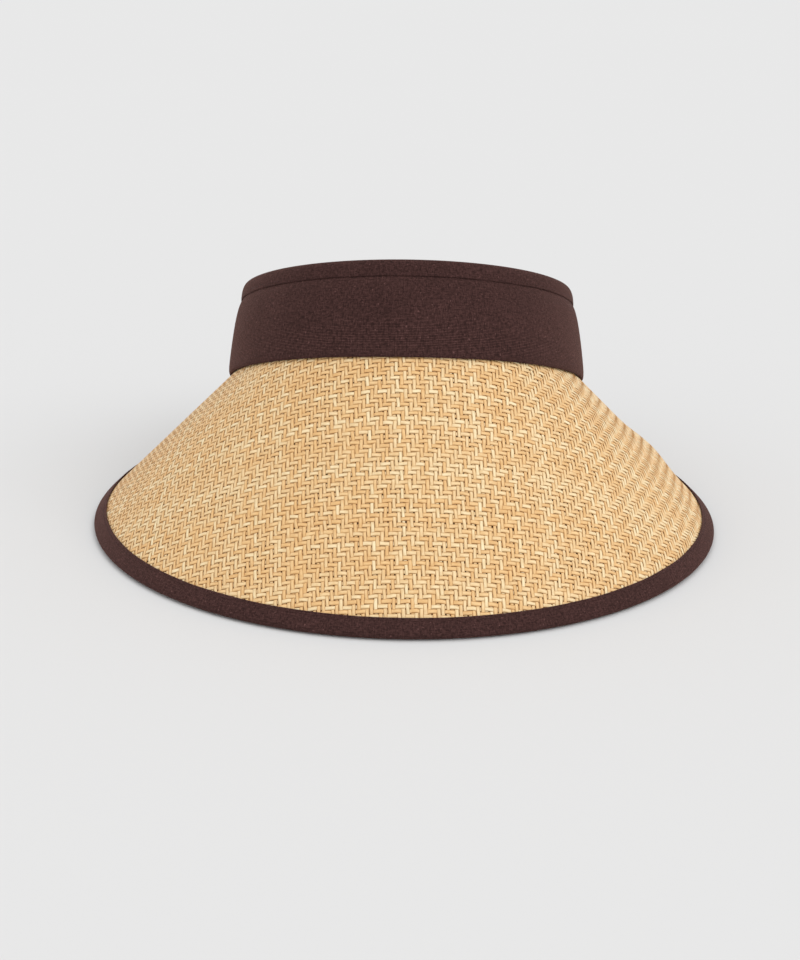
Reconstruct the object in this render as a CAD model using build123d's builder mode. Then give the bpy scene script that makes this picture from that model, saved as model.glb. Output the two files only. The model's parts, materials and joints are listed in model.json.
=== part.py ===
"""Sun visor: a woven paper straw brim on a padded fabric headband.

The brim is a cone shell, open at the back, that stands on its bound outer edge at z = 0.
The headband is an oval ring on a plane that leans back. Its two ends meet at the back,
where a fabric tab with hook tape closes over a patch of loop tape.
Millimetres, +Z up, the front faces -Y and +X is the right hand side seen from the front.
"""
from build123d import *
from math import asin, cos, radians, sin, tan
import os

# ---- Brim ----
brim_outer_radius = 149.0      # to the outside of the edge binding
brim_axis_y = 1.35             # puts the origin under the middle of the whole visor
brim_slope = 45.5              # degrees from the ground
back_opening_half = 32.0       # degrees each side of straight back
straw_thickness = 1.0
lining_thickness = 0.4
binding_thickness = 0.7
binding_width = 9.0
corner_radius = 22.0
wire_radius = 0.5
wire_cap_wall = 0.17
wire_end_angle = 43.0          # degrees from straight back
wire_cap_overlap = 1.5         # degrees of wire inside a cap
wire_cap_sweep = 3.0           # degrees
thread_size = 0.35
edge_stitch_inset = 1.5        # from the binding's inner edge
binding_clearance = 0.2        # between the binding's ends and the headband's cover

# ---- Headband ----
band_tilt = 22.85              # degrees, the band's plane leans back
band_centre_y = 39.9           # from the brim's axis
band_centre_z = 59.2
cover_half_width = 85.6        # outside of the cover at the foot of the band
cover_half_length = 101.7
band_lean = 0.113              # how far the wall leans in, mm for each mm of height
band_height = 42.0
band_foot = -5.0               # lower edge of the sweatband
cover_foot = -4.6              # the cover is cut to the brim's face above this
brim_clearance = 0.05          # between the straw and what rests on it
cover_thickness = 0.8
foam_thickness = 2.5
stiffener_thickness = 0.6
sweatband_thickness = 1.2
top_binding_height = 8.0
band_gap_half = 6.0            # degrees each side of straight back
cover_end_sweep = 0.5          # degrees of cover turned in at each end
turned_end_overlap = 0.1       # of a turned-in end with the cover's face
seam_tape_thickness = 0.5
seam_tape_top = 3.0
top_stitch_rise = 1.7          # above the binding's lower edge
seam_stitch_height = -1.0

# ---- Closure ----
tab_bottom = 9.0
tab_height = 24.0
tab_thickness = 1.4
tab_tip_angle = 27.0
tab_corner = 6.0
root_angle = -15.0
hinge_gap_sweep = 0.2          # degrees between the sewn root and the free tab
tape_height = 18.0
loop_thickness = 1.0
hook_thickness = 0.9
tape_clearance = 0.35          # between hooks and loops
loop_start, loop_end = 9.0, 31.0
hook_start, hook_end = 10.0, 25.5
bar_tack_width = 1.6
bar_tack_thickness = 0.4
bar_tack_edge = 0.5            # from the tab's edge
bar_tack_sweep = (4.5, 0.9)    # degrees before the hinge, start and end
tape_stitch_inset = 1.2        # from a tape's edges
tape_stitch_sweep = 0.7        # degrees from a tape's ends
root_stitch_sweep = 0.8        # degrees from the root's ends
thread_sweep = 0.2             # degrees that a thread takes up across the band

# ---- Labels ----
label_thickness = 0.3
label_clearance = 0.2          # between the care label and the seam's thread
size_label_sweep = (14.0, 24.0)
size_label_height = (12.0, 24.0)
care_label_sweep = (-32.0, -22.0)
care_label_height = (-3.0, 26.0)

# ---- Worked out ----
half_board = (straw_thickness + lining_thickness) / 2
half_edge = half_board + binding_thickness
slope = radians(brim_slope)
edge_reach = half_edge * (sin(slope) + cos(slope))
wire_centre_r = brim_outer_radius - edge_reach
wire_centre_z = edge_reach
foam_face = -cover_thickness
stiffener_face = foam_face - foam_thickness
sweat_face = stiffener_face - stiffener_thickness
inner_face = sweat_face - sweatband_thickness
binding_foot = band_height - top_binding_height
tab_face = loop_thickness + tape_clearance + hook_thickness
tab_outer = tab_face + tab_thickness
tape_bottom = tab_bottom + (tab_height - tape_height) / 2

# ---- Reach of the cutting shapes, all longer than what they cut ----
far = 260.0
board_reach = 140.0            # along the slope, inside the headband
cone_reach = 205.0             # along the slope, short of the apex
cutter_bottom, cutter_top = -40.0, 60.0
through_gap = 0.1              # degrees, so that a cut runs out at both of the band's ends
overlap = 1.0

brim_axis = Axis((0, brim_axis_y, 0), (0, 0, 1))
section_plane = Plane(origin=(0, brim_axis_y, 0), x_dir=(0, 1, 0), z_dir=(1, 0, 0))
tilt = radians(band_tilt)
band_plane = Plane(
    origin=(0, brim_axis_y + band_centre_y, band_centre_z),
    x_dir=(1, 0, 0),
    z_dir=(0, sin(tilt), cos(tilt)),
)


def on_section(along, off):
    """A point of the brim's section: along the slope from the wire, off its middle surface."""
    r = wire_centre_r - along * cos(slope) + off * sin(slope)
    z = wire_centre_z + along * sin(slope) + off * cos(slope)
    return (r, z)


def corner_trim(side, radius):
    """What a rounded corner of the brim leaves out, on the +X side (1) or the -X side (-1)."""
    along = corner_radius - half_edge
    to_apex = (wire_centre_r - along * cos(slope)) / cos(slope)
    flat_angle = asin(corner_radius / to_apex)
    from_back = radians(back_opening_half) + flat_angle / cos(slope)
    outward = Vector(side * sin(from_back), cos(from_back), 0)
    upward = Vector(0, 0, 1)
    r, z = on_section(along, 0)
    corner_plane = Plane(
        origin=Vector(0, brim_axis_y, z) + outward * r,
        x_dir=outward * -cos(slope) + upward * sin(slope),
        z_dir=outward * sin(slope) + upward * cos(slope),
    )
    reach = 3 * corner_radius
    with BuildPart() as trim:
        with BuildSketch(corner_plane.offset(-corner_radius)):
            with BuildLine():
                Polyline(
                    (0, 0), (-reach, 0), (-reach, -side * reach),
                    (reach * sin(flat_angle), -side * reach * cos(flat_angle)), close=True,
                )
            make_face()
            Circle(radius, mode=Mode.SUBTRACT)
        extrude(amount=2 * corner_radius)
    return trim.part


def brim_shell(low, high, along, end_inset, corner):
    """The brim's cone between two offsets, its outline set in from the finished edge."""
    wedge = radians(back_opening_half)
    with BuildPart() as shell:
        with BuildSketch(section_plane):
            with BuildLine():
                Polyline(
                    on_section(along, low), on_section(along, high),
                    on_section(board_reach, high), on_section(board_reach, low), close=True,
                )
            make_face()
        revolve(axis=brim_axis)
        with BuildSketch(Plane.XY.offset(-far / 2)):
            apex_y = brim_axis_y - end_inset / sin(wedge)
            side_x = far * tan(wedge)
            with BuildLine():
                Polyline((0, apex_y), (side_x, apex_y + far), (-side_x, apex_y + far), close=True)
            make_face()
        extrude(amount=far, mode=Mode.SUBTRACT)
        for side in (1, -1):
            add(corner_trim(side, corner), mode=Mode.SUBTRACT)
    return shell.part


def oval(face, height):
    """Half width and half length of a band face at a height above the band's plane."""
    shift = face - band_lean * height
    return (cover_half_width + shift, cover_half_length + shift)


def oval_block(face, bottom, top):
    """Everything inside one face of the band."""
    with BuildPart() as block:
        for height in (bottom, top):
            with BuildSketch(band_plane.offset(height)):
                Ellipse(*oval(face, height))
        loft(ruled=True)
    return block.part


def sector(start, end):
    """A wedge of the band, by degrees from straight back towards +X."""
    with BuildPart() as wedge:
        with BuildSketch(band_plane.offset(-far / 2)):
            middle = (start + end) / 2
            with BuildLine():
                Polyline(
                    (0, 0),
                    (far * sin(radians(start)), far * cos(radians(start))),
                    (far * sin(radians(middle)), far * cos(radians(middle))),
                    (far * sin(radians(end)), far * cos(radians(end))),
                    close=True,
                )
            make_face()
        extrude(amount=far)
    return wedge.part


def band_ring(inner, outer, bottom, top, gap=band_gap_half):
    """A layer of the band all round, open at the back."""
    with BuildPart() as ring:
        add(oval_block(outer, bottom, top))
        add(oval_block(inner, bottom, top), mode=Mode.SUBTRACT)
        add(sector(-gap, gap), mode=Mode.SUBTRACT)
    return ring.part


def band_patch(inner, outer, bottom, top, start, end):
    """A short stretch of a layer, such as a tape or a label."""
    with BuildPart() as patch:
        add(oval_block(outer, bottom, top))
        add(oval_block(inner, bottom, top), mode=Mode.SUBTRACT)
        add(sector(start, end), mode=Mode.INTERSECT)
    return patch.part


def below_cone(off):
    """Everything under the brim's surface at an offset, out to its foot."""
    with BuildPart() as block:
        with BuildSketch(section_plane):
            with BuildLine():
                Polyline((0, -far / 4), (far, -far / 4), on_section(-far / 4, off),
                         on_section(cone_reach, off), (0, on_section(cone_reach, off)[1]), close=True)
            make_face()
        revolve(axis=brim_axis)
    return block.part


def save(part, name):
    part.label = name
    export_step(part, f"parts/{name}.step")


os.makedirs("parts", exist_ok=True)

inside_stiffener = oval_block(stiffener_face, cutter_bottom, cutter_top)
inside_cover = oval_block(binding_clearance, cutter_bottom, cutter_top)
under_brim = below_cone(half_board + brim_clearance)

# ---- Brim pieces ----
board_along = half_board
board_inset = half_board + half_edge

with BuildPart() as brim_straw:
    add(brim_shell(half_board - straw_thickness, half_board, board_along, board_inset,
                   corner_radius - board_inset))
    add(inside_stiffener, mode=Mode.SUBTRACT)
save(brim_straw.part, "brim_straw")

with BuildPart() as brim_lining:
    add(brim_shell(-half_board, half_board - straw_thickness, board_along, board_inset,
                   corner_radius - board_inset))
    add(inside_stiffener, mode=Mode.SUBTRACT)
save(brim_lining.part, "brim_lining")

with BuildPart() as brim_edge_binding:
    add(brim_shell(-half_edge, half_edge, -half_edge, 0, corner_radius))
    add(brim_shell(-half_board, half_board, -half_board, binding_thickness,
                   corner_radius - binding_thickness), mode=Mode.SUBTRACT)
    add(brim_shell(-half_edge - overlap, half_edge + overlap, binding_width - half_edge, binding_width,
                   corner_radius - binding_width), mode=Mode.SUBTRACT)
    add(inside_cover, mode=Mode.SUBTRACT)
save(brim_edge_binding.part, "brim_edge_binding")

stitch_along = binding_width - half_edge - edge_stitch_inset
stitch_inset = binding_width - edge_stitch_inset
with BuildPart() as brim_edge_stitching:
    for face, reach in ((half_edge, thread_size), (-half_edge, -thread_size)):
        low, high = sorted((face, face + reach))
        add(brim_shell(low, high, stitch_along, stitch_inset, corner_radius - stitch_inset))
        add(brim_shell(low - overlap, high + overlap, stitch_along + thread_size,
                       stitch_inset + thread_size, corner_radius - stitch_inset - thread_size),
            mode=Mode.SUBTRACT)
    add(inside_cover, mode=Mode.SUBTRACT)
save(brim_edge_stitching.part, "brim_edge_stitching")


def arc_plane(from_back):
    """A plane through the brim's axis, by degrees from straight back."""
    angle = radians(90 - from_back)
    return Plane(origin=(0, brim_axis_y, 0), x_dir=(cos(angle), sin(angle), 0),
                 z_dir=(sin(angle), -cos(angle), 0))


with BuildPart() as brim_edge_wire:
    with BuildSketch(arc_plane(wire_end_angle)):
        with Locations((wire_centre_r, wire_centre_z)):
            Circle(wire_radius)
    revolve(axis=brim_axis, revolution_arc=-(360 - 2 * wire_end_angle))
save(brim_edge_wire.part, "brim_edge_wire")

with BuildPart() as wire_end_caps:
    for start, turn in ((wire_end_angle + wire_cap_overlap, wire_cap_sweep),
                        (-wire_end_angle - wire_cap_overlap, -wire_cap_sweep)):
        with BuildSketch(arc_plane(start)):
            with Locations((wire_centre_r, wire_centre_z)):
                Circle(wire_radius + wire_cap_wall)
                Circle(wire_radius, mode=Mode.SUBTRACT)
        revolve(axis=brim_axis, revolution_arc=turn)
save(wire_end_caps.part, "wire_end_caps")

# ---- Headband pieces ----
body_gap = band_gap_half + cover_end_sweep
cover_top = band_height - binding_thickness

with BuildPart() as band_cover:
    add(band_ring(foam_face, 0, cover_foot, cover_top))
    for start, end in ((band_gap_half, body_gap), (-body_gap, -band_gap_half)):
        add(band_patch(sweat_face, foam_face + turned_end_overlap, cover_foot, cover_top, start, end))
    add(under_brim, mode=Mode.SUBTRACT)
save(band_cover.part, "band_cover")

with BuildPart() as band_foam:
    add(band_ring(stiffener_face, foam_face, cover_foot, cover_top, body_gap))
    add(under_brim, mode=Mode.SUBTRACT)
save(band_foam.part, "band_foam")

save(band_ring(sweat_face, stiffener_face, band_foot, cover_top, body_gap), "band_stiffener")
save(band_ring(inner_face, sweat_face, band_foot, cover_top), "sweatband")

with BuildPart() as top_binding:
    add(band_ring(inner_face - binding_thickness, binding_thickness, binding_foot, band_height))
    add(band_ring(inner_face, 0, binding_foot - overlap, cover_top, through_gap), mode=Mode.SUBTRACT)
save(top_binding.part, "top_binding")

top_stitch_height = binding_foot + top_stitch_rise
with BuildPart() as top_binding_stitching:
    add(band_ring(binding_thickness, binding_thickness + thread_size,
                  top_stitch_height, top_stitch_height + thread_size))
    add(band_ring(inner_face - binding_thickness - thread_size, inner_face - binding_thickness,
                  top_stitch_height, top_stitch_height + thread_size))
save(top_binding_stitching.part, "top_binding_stitching")

tape_inner = inner_face - seam_tape_thickness
save(band_ring(tape_inner, inner_face, band_foot, seam_tape_top), "brim_seam_tape")
save(band_ring(tape_inner - thread_size, tape_inner, seam_stitch_height,
               seam_stitch_height + thread_size), "brim_seam_stitching")

# ---- Closure at the back ----
hinge_angle = -band_gap_half
root_end = hinge_angle - hinge_gap_sweep


def tip_trim(angle, low, high, corner):
    """What the two rounded corners at a tab's tip leave out."""
    turn = radians(angle)
    reach = corner + overlap
    tip_plane = Plane(
        origin=band_plane.origin,
        x_dir=band_plane.x_dir * -cos(turn) + band_plane.y_dir * sin(turn),
        z_dir=band_plane.x_dir * sin(turn) + band_plane.y_dir * cos(turn),
    )
    with BuildPart() as trim:
        with BuildSketch(tip_plane):
            for edge, inward in ((low, 1), (high, -1)):
                with Locations((corner - reach / 2, edge + inward * (corner - reach / 2))):
                    Rectangle(reach, reach)
            for edge, inward in ((low, 1), (high, -1)):
                with Locations((corner, edge + inward * corner)):
                    Circle(corner, mode=Mode.SUBTRACT)
        extrude(amount=far)
    return trim.part


tab_top = tab_bottom + tab_height
with BuildPart() as closure_tab:
    add(band_patch(tab_face, tab_outer, tab_bottom, tab_top, hinge_angle, tab_tip_angle))
    add(tip_trim(tab_tip_angle, tab_bottom, tab_top, tab_corner), mode=Mode.SUBTRACT)
save(closure_tab.part, "closure_tab")
save(band_patch(0, tab_outer, tab_bottom, tab_top, root_angle, root_end), "closure_tab_root")
save(band_patch(tab_face - hook_thickness, tab_face, tape_bottom, tape_bottom + tape_height,
                hook_start, hook_end), "hook_tape")


def patch_outline(face, reach, start, end, inset_sweep):
    """A line of thread round a patch, set in from its edges."""
    low, high = sorted((face, face + reach))
    inset = tape_stitch_inset
    with BuildPart() as outline:
        add(band_patch(low, high, tape_bottom + inset, tape_bottom + tape_height - inset,
                       start + inset_sweep, end - inset_sweep))
        add(band_patch(low - overlap, high + overlap, tape_bottom + inset + thread_size,
                       tape_bottom + tape_height - inset - thread_size,
                       start + inset_sweep + thread_sweep, end - inset_sweep - thread_sweep),
            mode=Mode.SUBTRACT)
    return outline.part


save(patch_outline(tab_outer, thread_size, hook_start, hook_end, tape_stitch_sweep), "hook_tape_stitching")
loop_tape_stitching = patch_outline(loop_thickness, -thread_size, loop_start, loop_end, tape_stitch_sweep)
save(loop_tape_stitching, "loop_tape_stitching")
with BuildPart() as loop_tape:
    add(band_patch(0, loop_thickness, tape_bottom, tape_bottom + tape_height, loop_start, loop_end))
    add(loop_tape_stitching, mode=Mode.SUBTRACT)
save(loop_tape.part, "loop_tape")
save(patch_outline(tab_outer, thread_size, root_angle, root_end, root_stitch_sweep),
     "tab_root_stitching")

with BuildPart() as tab_bar_tacks:
    for tack_bottom in (tab_bottom + bar_tack_edge, tab_top - bar_tack_edge - bar_tack_width):
        add(band_patch(tab_outer, tab_outer + bar_tack_thickness,
                       tack_bottom, tack_bottom + bar_tack_width,
                       root_end - bar_tack_sweep[0], root_end - bar_tack_sweep[1]))
save(tab_bar_tacks.part, "tab_bar_tacks")

# ---- Labels inside the band ----
save(band_patch(inner_face - label_thickness, inner_face, *size_label_height, *size_label_sweep),
     "size_label")
care_face = tape_inner - thread_size - label_clearance
save(band_patch(care_face - label_thickness, care_face, *care_label_height, *care_label_sweep),
     "care_label")
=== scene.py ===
"""A sun visor: woven paper straw brim, bound edge, padded headband and hook-and-loop closure."""
import json
import random
from math import asin, atan2, cos, exp, floor, hypot, pi, radians, sin, tau

import bmesh
import bpy
from bpy.props import FloatProperty, FloatVectorProperty, PointerProperty
from mathutils import Matrix, Vector, noise


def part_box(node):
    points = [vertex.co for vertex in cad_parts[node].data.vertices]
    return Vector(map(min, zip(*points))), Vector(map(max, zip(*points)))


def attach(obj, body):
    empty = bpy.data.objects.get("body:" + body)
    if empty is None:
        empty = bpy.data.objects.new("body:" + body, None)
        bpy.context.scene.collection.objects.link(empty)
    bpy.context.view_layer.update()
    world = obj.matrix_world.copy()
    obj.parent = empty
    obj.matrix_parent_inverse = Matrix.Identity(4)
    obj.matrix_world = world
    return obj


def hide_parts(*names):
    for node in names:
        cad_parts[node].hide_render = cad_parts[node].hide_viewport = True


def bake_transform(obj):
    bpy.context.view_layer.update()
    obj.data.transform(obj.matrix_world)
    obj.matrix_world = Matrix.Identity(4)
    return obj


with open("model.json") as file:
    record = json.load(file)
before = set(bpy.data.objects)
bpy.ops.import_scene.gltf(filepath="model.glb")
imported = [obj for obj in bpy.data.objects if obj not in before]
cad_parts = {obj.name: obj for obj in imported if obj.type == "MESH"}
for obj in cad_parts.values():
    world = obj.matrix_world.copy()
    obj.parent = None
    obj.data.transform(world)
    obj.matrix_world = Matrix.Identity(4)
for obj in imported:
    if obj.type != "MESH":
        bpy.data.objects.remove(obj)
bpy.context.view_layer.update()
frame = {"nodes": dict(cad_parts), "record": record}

bl_info = {
    "name": "Straw Sun Visor",
    "version": (1, 0, 0),
    "blender": (4, 5, 0),
    "location": "3D View > Sidebar > Visor",
    "description": "Builds a straw sun visor round its packed frame",
    "category": "Object",
}

MM = 0.001
BODY, TAB = "visor", "tab"


class VisorSizes(bpy.types.PropertyGroup):
    """Sizes that a maker would change."""
    brim_slope: FloatProperty(
        name="Brim slope", description="Angle of the brim from the ground",
        default=radians(45.5), subtype="ANGLE")
    board: FloatProperty(
        name="Board", description="Straw and lining together", default=1.4 * MM, unit="LENGTH")
    tape: FloatProperty(
        name="Tape thickness", description="Thickness of the binding tape",
        default=0.7 * MM, unit="LENGTH")
    corner: FloatProperty(
        name="Corner radius", description="Rounding of the brim's two back corners",
        default=22.0 * MM, unit="LENGTH")
    back_opening: FloatProperty(
        name="Back opening", description="Half of the opening between the brim's ends",
        default=radians(32.0), subtype="ANGLE")
    band_half_width: FloatProperty(
        name="Band half width", description="Outside of the band at its foot",
        default=85.6 * MM, unit="LENGTH")
    band_half_length: FloatProperty(
        name="Band half length", description="Outside of the band at its foot, front to back",
        default=101.7 * MM, unit="LENGTH")
    band_lean: FloatProperty(
        name="Band lean", description="How far the wall leans in for each unit of height",
        default=0.113)
    upright_pitch: FloatProperty(
        name="Upright straw pitch", description="Spacing of the strands that run up the front",
        default=1.87 * MM, unit="LENGTH")
    level_pitch: FloatProperty(
        name="Level straw pitch", description="Spacing of the strands that run across the front",
        default=2.21 * MM, unit="LENGTH")
    stitch_pitch: FloatProperty(
        name="Stitch pitch", description="Length of one stitch", default=3.0 * MM, unit="LENGTH")


class VisorColours(bpy.types.PropertyGroup):
    """Colours that a maker would change."""
    straw: FloatVectorProperty(
        name="Straw", description="Paper straw", size=3, subtype="COLOR",
        default=(0.91, 0.605, 0.285))
    straw_pale: FloatVectorProperty(
        name="Pale straw", description="The palest strands", size=3, subtype="COLOR",
        default=(1.0, 0.84, 0.54))
    cotton: FloatVectorProperty(
        name="Cotton", description="Brown cotton of the band and bindings", size=3,
        subtype="COLOR", default=(0.073, 0.034, 0.031))
    thread: FloatVectorProperty(
        name="Thread", description="Sewing thread", size=3, subtype="COLOR",
        default=(0.045, 0.019, 0.017))
    lining: FloatVectorProperty(
        name="Lining", description="Cloth behind the straw", size=3, subtype="COLOR",
        default=(0.085, 0.045, 0.028))


# ---------------------------------------------------------------- shape of the visor

def smooth(low, high, x):
    """0 below low, 1 above high, with a smooth rise between."""
    t = min(max((x - low) / (high - low), 0.0), 1.0)
    return t * t * (3 - 2 * t)


class VisorShape:
    """Turns places on the brim and on the band into points of the frame, in metres."""

    def __init__(self, sizes):
        self.s = sizes
        low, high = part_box("brim_edge_binding")
        self.radius = high[0]
        self.axis_y = low[1] + self.radius
        self.cos, self.sin = cos(sizes.brim_slope), sin(sizes.brim_slope)
        self.half_board = sizes.board / 2
        self.half_edge = self.half_board + sizes.tape
        reach = self.half_edge * (self.sin + self.cos)
        self.wire_r = self.radius - reach
        self.wire_z = reach
        opening = frame["record"]["mounts"][0]
        self.centre = Vector(opening["pos_m"])
        self.up = Vector(opening["axis"]).normalized()
        self.right = Vector((1, 0, 0))
        self.back = self.up.cross(self.right)
        # the brim laid flat: a ring sector round the cone's apex
        self.flat_edge = self.wire_r / self.cos + self.half_edge
        self.flat_end = (pi - sizes.back_opening) * self.cos
        self.flat_corner = self.flat_edge - sizes.corner
        self.corner_turn = asin(sizes.corner / self.flat_corner)
        self.end_length = self.flat_corner * cos(self.corner_turn)
        self._measure_oval()

    # -- brim --
    def brim(self, along, off, turn):
        """along the slope from the wire, off the middle surface, turned from the front."""
        swell = ((turn - 1.80) / 0.20) ** 2 + ((along - 35 * MM) / (13 * MM)) ** 2
        off += 2.0 * MM * exp(-swell)
        r = self.wire_r - along * self.cos + off * self.sin
        z = self.wire_z + along * self.sin + off * self.cos
        return Vector((r * sin(turn), self.axis_y - r * cos(turn), z))

    def rolled(self, p, q, off):
        """A point of the flat brim, with the apex at the origin, rolled into the cone."""
        flat_r = hypot(p, q)
        turn = atan2(p, -q) / self.cos
        return self.brim(self.wire_r / self.cos - flat_r, off, turn)

    def edge_distance(self, p, q):
        """How far inside the finished outline a point of the flat brim is."""
        flat_r = hypot(p, q)
        from_edge = self.flat_edge - flat_r
        beside = self.flat_end - abs(atan2(p, -q))
        from_end = flat_r * sin(min(beside, pi / 2))
        corner = self.s.corner
        turn = abs(atan2(p, -q))
        middle = self.flat_end - self.corner_turn
        dx = flat_r * sin(turn - middle)
        dy = flat_r * cos(turn - middle) - self.flat_corner
        if dx > 0 and dy > 0 or (dx > 0 and flat_r > self.end_length):
            return corner - hypot(dx, dy) if dy > 0 else min(from_end, from_edge)
        return min(from_edge, from_end)

    def outline_length(self):
        c, e = self.s.corner, self.flat_end - self.corner_turn
        self.end_run = self.end_length - self.flat_root()
        self.corner_run = c * (pi / 2 + self.corner_turn)
        return 2 * (self.end_run + self.corner_run + e * self.flat_edge)

    def flat_root(self):
        """Flat distance from the apex at which a brim end goes in under the band."""
        return self.wire_r / self.cos - self.brim_root(pi - self.s.back_opening, -2.2 * MM)

    def outline(self, distance, inset):
        """A point of the flat brim, inset from the finished outline, going round from +X."""
        total = self.outline_length()
        mirrored = distance > total / 2
        d = total - distance if mirrored else distance
        c, e = self.s.corner, self.flat_end - self.corner_turn
        if d < self.end_run:
            r = self.flat_root() + d
            at = Vector((r * sin(self.flat_end), -r * cos(self.flat_end)))
            inward = Vector((-cos(self.flat_end), -sin(self.flat_end)))
            at += inward * inset
        elif d < self.end_run + self.corner_run:
            turn = self.flat_end + pi / 2 - (d - self.end_run) / c
            middle = Vector((self.flat_corner * sin(e), -self.flat_corner * cos(e)))
            at = middle + Vector((sin(turn), -cos(turn))) * (c - inset)
        else:
            turn = e - (d - self.end_run - self.corner_run) / self.flat_edge
            at = Vector((sin(turn), -cos(turn))) * (self.flat_edge - inset)
        return (-at.x if mirrored else at.x, at.y)

    def edge(self, distance, inset, off):
        p, q = self.outline(distance, inset)
        return self.rolled(p, q, off)

    # -- band --
    def _measure_oval(self):
        a, b = self.s.band_half_width, self.s.band_half_length
        self.oval_arcs, steps = [0.0], 720
        for k in range(steps):
            t0, t1 = tau * k / steps - pi, tau * (k + 1) / steps - pi
            step = hypot(a * (sin(t1) - sin(t0)), b * (cos(t1) - cos(t0)))
            self.oval_arcs.append(self.oval_arcs[-1] + step)
        self.oval_length = self.oval_arcs[-1]

    def arc_at(self, t):
        """Distance round the band's foot, 0 at the back, growing towards +X."""
        x = (t + pi) / tau * 720
        k = min(max(int(floor(x)), 0), 719)
        share = x - k
        arc = self.oval_arcs[k] * (1 - share) + self.oval_arcs[k + 1] * share
        return arc - self.oval_length / 2

    def turn_at(self, arc):
        """The oval's parameter at a distance round it."""
        target = arc + self.oval_length / 2
        low, high = 0, 720
        while high - low > 1:
            k = (low + high) // 2
            if self.oval_arcs[k] < target:
                low = k
            else:
                high = k
        share = (target - self.oval_arcs[low]) / (self.oval_arcs[high] - self.oval_arcs[low])
        return (low + share) / 720 * tau - pi

    def param(self, degrees):
        """The oval's parameter at an angle from straight back, as the frame's wedges use it."""
        turn = radians(degrees)
        return atan2(sin(turn) / self.s.band_half_width, cos(turn) / self.s.band_half_length)

    def band(self, off, height, t):
        """off the band's outer face, height above its plane, t the oval's parameter."""
        shrink = self.s.band_lean * height
        a, b = self.s.band_half_width - shrink, self.s.band_half_length - shrink
        out = Vector((b * sin(t), a * cos(t))).normalized()
        x, y = a * sin(t) + off * out.x, b * cos(t) + off * out.y
        return self.centre + self.right * x + self.back * y + self.up * height

    def off_brim(self, point):
        """How far a point stands off the brim's middle surface."""
        r = hypot(point.x, point.y - self.axis_y)
        return (r - self.wire_r) * self.sin + (point.z - self.wire_z) * self.cos

    def lip(self, off, t, clear):
        """Height at which the band's wall meets the brim's face."""
        low, high = -12 * MM, 14 * MM
        for _ in range(14):
            middle = (low + high) / 2
            if self.off_brim(self.band(off, middle, t)) < clear:
                low = middle
            else:
                high = middle
        return (low + high) / 2

    def brim_root(self, turn, face):
        """Distance along the slope at which the brim passes a face of the band."""
        low, high = 0.0, 150 * MM
        for _ in range(20):
            middle = (low + high) / 2
            local = self.brim(middle, 0, turn) - self.centre
            x, y, h = local.dot(self.right), local.dot(self.back), local.dot(self.up)
            shift = face - self.s.band_lean * h
            a, b = self.s.band_half_width + shift, self.s.band_half_length + shift
            if (x / a) ** 2 + (y / b) ** 2 > 1:
                low = middle
            else:
                high = middle
        return (low + high) / 2


# ---------------------------------------------------------------- mesh helpers

def new_piece(name, bm, material, smooth_faces=True):
    """A finished mesh object from a bmesh, at the origin."""
    mesh = bpy.data.meshes.new(name)
    bm.to_mesh(mesh)
    bm.free()
    piece = bpy.data.objects.new(name, mesh)
    bpy.context.scene.collection.objects.link(piece)
    piece.data.materials.append(material)
    for face in mesh.polygons:
        face.use_smooth = smooth_faces
    return piece


def place_grid(bm, columns, rows, place, tone=0.5):
    """A grid of columns by rows whose vertices are moved to place(column, row) -> point, uv."""
    uv_layer = bm.loops.layers.uv.verify()
    tone_layer = bm.verts.layers.float.get("tone") or bm.verts.layers.float.new("tone")
    made = bmesh.ops.create_grid(bm, x_segments=columns, y_segments=rows, size=0.5)["verts"]
    flat = {}
    faces = set()
    for vert in made:
        column = round((vert.co.x + 0.5) * columns)
        row = round((vert.co.y + 0.5) * rows)
        point, uv = place(column, row)
        vert.co = point
        vert[tone_layer] = tone
        flat[vert] = uv
        faces.update(vert.link_faces)
    for face in faces:
        for loop in face.loops:
            loop[uv_layer].uv = flat[loop.vert]
    return made


def close_ends(bm, weld=2e-6):
    """Welds a rolled grid's seam, caps its ends and turns its faces outwards."""
    bmesh.ops.remove_doubles(bm, verts=bm.verts, dist=weld)
    rim = [edge for edge in bm.edges if edge.is_boundary]
    if rim:
        bmesh.ops.holes_fill(bm, edges=rim, sides=0)
    bmesh.ops.recalc_face_normals(bm, faces=bm.faces)


def subdivided(piece, levels):
    finish = piece.modifiers.new("Soft edges", "SUBSURF")
    finish.levels = levels
    finish.render_levels = levels
    return piece


def thickened(path, thickness):
    """A closed section: the path, then the same path set in by the thickness, backwards."""
    inner = []
    for k, (x, y) in enumerate(path):
        x0, y0 = path[max(k - 1, 0)]
        x1, y1 = path[min(k + 1, len(path) - 1)]
        length = hypot(x1 - x0, y1 - y0)
        inner.append((x + (y1 - y0) / length * thickness, y - (x1 - x0) / length * thickness))
    return list(path) + inner[::-1]


def section_walk(section):
    """Distance round a closed section to each of its points, with the first point again."""
    walk = [0.0]
    for k in range(len(section)):
        x0, y0 = section[k]
        x1, y1 = section[(k + 1) % len(section)]
        walk.append(walk[-1] + hypot(x1 - x0, y1 - y0))
    return walk


def band_run(bm, shape, section, ends, step, at, least=4):
    """Adds a closed section in millimetres, (off, height), carried round between two turns."""
    start, end = shape.arc_at(ends[0]), shape.arc_at(ends[1])
    columns = max(int(round((end - start) / step)), least)
    walk = section_walk(section)

    def spot(column, row):
        arc = start + (end - start) * column / columns
        off, height = section[row % len(section)]
        t = shape.turn_at(arc)
        return at(off * MM, height * MM, t), (arc, walk[row] * MM)

    place_grid(bm, columns, len(section), spot)


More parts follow.
